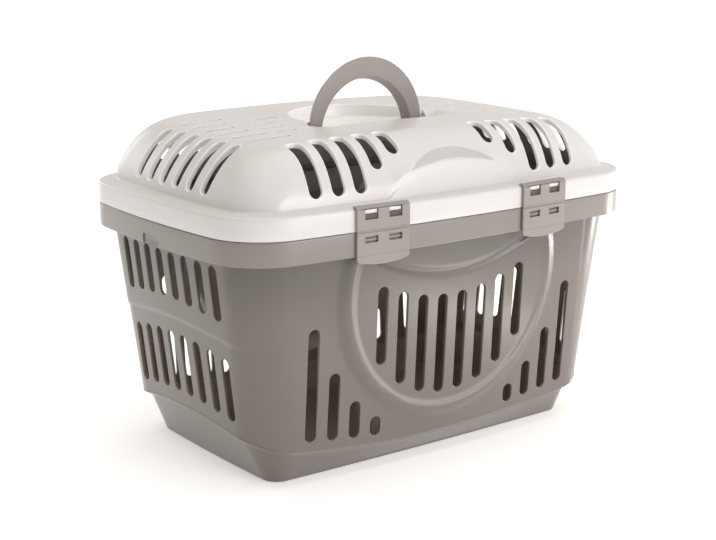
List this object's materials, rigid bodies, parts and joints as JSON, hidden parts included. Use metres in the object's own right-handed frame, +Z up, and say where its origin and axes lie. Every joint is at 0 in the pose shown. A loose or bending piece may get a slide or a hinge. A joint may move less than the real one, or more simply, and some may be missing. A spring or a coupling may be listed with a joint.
{
  "type": "pet carrier",
  "caption": "Slotted plastic pet carrier: tapered tub, domed lid hinged at the rear, two front snap clips and a fold-down arch handle.",
  "frame": {"origin": "centre of the base on the floor", "axes": "+X along the rim's length, +Y from the clip side to the hinge side, +Z up"},
  "size_m": [0.48, 0.3141, 0.368],
  "materials": {
    "tub_plastic": "satin moulded",
    "lid_plastic": "glossy moulded",
    "handle_plastic": "satin moulded",
    "clip_plastic": "satin moulded"
  },
  "bodies": {
    "tub_body": {"tub": "tub_plastic", "clip_rear_left_flap": "clip_plastic", "clip_rear_right_flap": "clip_plastic"},
    "lid_body": {"lid": "lid_plastic", "clip_rear_left_hook": "clip_plastic", "clip_rear_right_hook": "clip_plastic", "clip_front_left_hook": "clip_plastic", "clip_front_right_hook": "clip_plastic"},
    "handle_body": {"handle": "handle_plastic"},
    "left_flap_body": {"clip_front_left_flap": "clip_plastic"},
    "right_flap_body": {"clip_front_right_flap": "clip_plastic"}
  },
  "joints": [
    {"name": "lid_hinge", "type": "hinge", "parent": "tub_body", "child": "lid_body", "pos_m": [0, 0.15549, 0.23415], "axis": [-1, 0, 0], "range_deg": [0, 105]},
    {"name": "handle_hinge", "type": "hinge", "parent": "lid_body", "child": "handle_body", "pos_m": [0, 0.003, 0.305], "axis": [-1, 0, 0], "range_deg": [0, 90]},
    {"name": "left_clip_hinge", "type": "hinge", "parent": "lid_body", "child": "left_flap_body", "pos_m": [-0.09605, -0.15461, 0.23415], "axis": [-0.9993, 0.0382, 0], "range_deg": [0, 105]},
    {"name": "right_clip_hinge", "type": "hinge", "parent": "lid_body", "child": "right_flap_body", "pos_m": [0.09605, -0.15461, 0.23415], "axis": [-0.9993, -0.0382, 0], "range_deg": [0, 105]}
  ]
}
